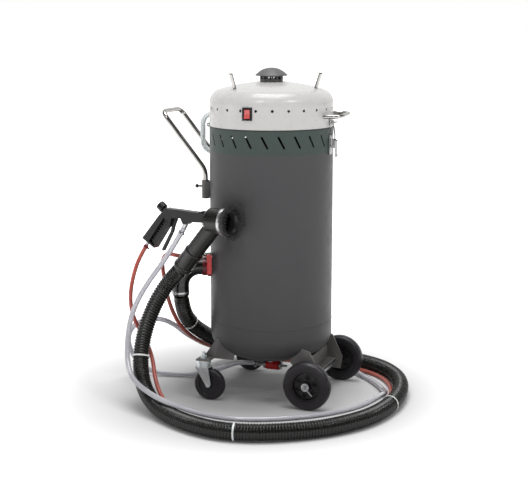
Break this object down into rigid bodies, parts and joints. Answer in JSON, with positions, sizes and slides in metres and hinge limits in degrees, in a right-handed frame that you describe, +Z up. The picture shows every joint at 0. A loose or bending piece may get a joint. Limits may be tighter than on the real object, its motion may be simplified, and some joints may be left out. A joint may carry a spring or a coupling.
{
  "type": "mobile vacuum blasting machine",
  "caption": "Wheeled upright tank with a hinged domed lid, louvred collar, pull handle, casters, three hoses and a blast gun with a round suction brush.",
  "frame": {"origin": "on the floor under the middle of the machine's box without its hoses", "axes": "+Z up, +X from the casters and pull handle towards the fixed wheels, -Y is the side with the switch and the gun"},
  "size_m": [0.9434, 0.9436, 1.04],
  "materials": {
    "tank_paint": "satin",
    "collar_paint": "satin",
    "frame_paint": "satin",
    "lid_paint": "gloss",
    "chrome": "polished",
    "zinc": "satin",
    "cap_plastic": "matt",
    "black_plastic": "satin",
    "hose_black": "satin",
    "red_plastic": "gloss",
    "red_hose": "satin",
    "clear_hose": "satin",
    "wheel_rubber": "satin",
    "rim_plastic": "satin",
    "brass": "satin",
    "bristle": "matt",
    "filter_paper": "matt",
    "gasket_rubber": "matt",
    "tie_nylon": "satin"
  },
  "bodies": {
    "tank": {"tank_shell": "tank_paint", "vent_collar": "collar_paint", "bottom_head": "tank_paint", "filter_cartridge": "filter_paper", "latch_base": "zinc", "hinge_leaf_tank": "frame_paint", "hinge_pin": "zinc", "handle_sockets": "frame_paint", "caster_brackets": "frame_paint", "wheel_brackets": "frame_paint", "axle": "zinc", "axle_washers": "zinc", "caster_stems": "zinc", "outlet_valve": "brass", "inlet_flange": "red_plastic", "inlet_elbow": "hose_black", "air_valve_body": "zinc", "air_supply_nipple": "brass", "gun_shell_near": "black_plastic", "gun_shell_far": "black_plastic", "suction_head": "black_plastic", "gun_fittings": "zinc", "brush_band": "zinc", "brush_bristles": "bristle", "gun_holder": "frame_paint", "suction_hose": "hose_black", "air_hose": "red_hose", "abrasive_hose": "clear_hose", "hose_ties": "tie_nylon", "link_hose": "clear_hose"},
    "lid": {"lid_dome": "lid_paint", "lid_gasket": "gasket_rubber", "exhaust_cap": "cap_plastic", "cord_wrap_pegs": "chrome", "lift_handle": "chrome", "latch_hook": "zinc", "hinge_leaf_lid": "frame_paint", "switch_housing": "black_plastic", "vacuum_motor": "zinc", "cable_gland": "black_plastic"},
    "latch_lever": {"latch_lever": "zinc"},
    "latch_bail": {"latch_bail": "chrome"},
    "switch": {"switch_rocker": "red_plastic"},
    "pull_handle": {"pull_handle": "chrome"},
    "screw_near": {"clamp_screw_near": "frame_paint"},
    "screw_far": {"clamp_screw_far": "frame_paint"},
    "wheel_near": {"tyre_near": "wheel_rubber", "rim_near": "rim_plastic"},
    "wheel_far": {"tyre_far": "wheel_rubber", "rim_far": "rim_plastic"},
    "swivel_near": {"caster_fork_near": "zinc", "caster_bolt_near": "zinc"},
    "swivel_far": {"caster_fork_far": "zinc", "caster_bolt_far": "zinc"},
    "caster_near": {"caster_wheel_near": "wheel_rubber"},
    "caster_far": {"caster_wheel_far": "wheel_rubber"},
    "sleeve": {"metering_sleeve": "red_plastic"},
    "air_lever": {"air_valve_lever": "red_plastic"},
    "trigger": {"gun_trigger": "black_plastic"},
    "knob": {"gun_knob": "black_plastic"}
  },
  "joints": [
    {"name": "lid_hinge", "type": "hinge", "parent": "tank", "child": "lid", "pos_m": [-0.15164, 0.0503, 0.858], "axis": [0, -1, 0], "range_deg": [0, 75], "deforming": ["link_hose"]},
    {"name": "latch_lever_pivot", "type": "hinge", "parent": "tank", "child": "latch_lever", "pos_m": [0.25836, 0.0503, 0.815], "axis": [0, -1, 0], "range_deg": [0, 100]},
    {"name": "latch_bail_pivot", "type": "hinge", "parent": "latch_lever", "child": "latch_bail", "pos_m": [0.25636, 0.0503, 0.803], "axis": [0, -1, 0], "range_deg": [-104, 0]},
    {"name": "switch_rock", "type": "hinge", "parent": "lid", "child": "switch", "pos_m": [0.04636, -0.1397, 0.908], "axis": [1, 0, 0], "range_deg": [0, 12]},
    {"name": "pull_handle_slide", "type": "slide", "parent": "tank", "child": "pull_handle", "axis": [0, 0, 1], "range_m": [0, 0.045]},
    {"name": "clamp_screw_near_turn", "type": "hinge", "parent": "tank", "child": "screw_near", "pos_m": [-0.17564, -0.0197, 0.666], "axis": [1, 0, 0], "range_deg": [0, 360]},
    {"name": "clamp_screw_far_turn", "type": "hinge", "parent": "tank", "child": "screw_far", "pos_m": [-0.17564, 0.1203, 0.666], "axis": [1, 0, 0], "range_deg": [0, 360]},
    {"name": "wheel_near_spin", "type": "hinge", "parent": "tank", "child": "wheel_near", "pos_m": [0.23406, -0.1253, 0.0765], "axis": [0, 1, 0], "continuous": true},
    {"name": "wheel_far_spin", "type": "hinge", "parent": "tank", "child": "wheel_far", "pos_m": [0.23406, 0.2259, 0.0765], "axis": [0, 1, 0], "continuous": true},
    {"name": "caster_near_swivel", "type": "hinge", "parent": "tank", "child": "swivel_near", "pos_m": [-0.10964, -0.1287, 0.108], "axis": [0, 0, 1], "continuous": true},
    {"name": "caster_far_swivel", "type": "hinge", "parent": "tank", "child": "swivel_far", "pos_m": [-0.10964, 0.2293, 0.108], "axis": [0, 0, 1], "continuous": true},
    {"name": "caster_near_spin", "type": "hinge", "parent": "swivel_near", "child": "caster_near", "pos_m": [-0.08864, -0.1287, 0.0508], "axis": [0, 1, 0], "continuous": true},
    {"name": "caster_far_spin", "type": "hinge", "parent": "swivel_far", "child": "caster_far", "pos_m": [-0.08864, 0.2293, 0.0508], "axis": [0, 1, 0], "continuous": true},
    {"name": "metering_sleeve_turn", "type": "hinge", "parent": "tank", "child": "sleeve", "pos_m": [0.05956, 0.0503, 0.08], "axis": [1, 0, 0], "range_deg": [0, 60]},
    {"name": "air_valve_turn", "type": "hinge", "parent": "tank", "child": "air_lever", "pos_m": [-0.11583, -0.07644, 0.452], "axis": [-0.6018, 0.7986, 0], "range_deg": [0, 90]},
    {"name": "gun_trigger_pull", "type": "hinge", "parent": "tank", "child": "trigger", "pos_m": [-0.18566, -0.15847, 0.5835], "axis": [0.213, 0.977, 0], "range_deg": [0, 9], "stiffness_Nm_per_rad": 0.4, "springref_deg": -8.59},
    {"name": "gun_knob_turn", "type": "hinge", "parent": "tank", "child": "knob", "pos_m": [-0.22425, -0.15006, 0.602], "axis": [-0.7719, 0.1683, 0.613], "range_deg": [0, 270]}
  ],
  "couplings": [
    {"joint": "latch_bail_pivot", "follows": "latch_lever_pivot", "ratio": -1.04}
  ]
}
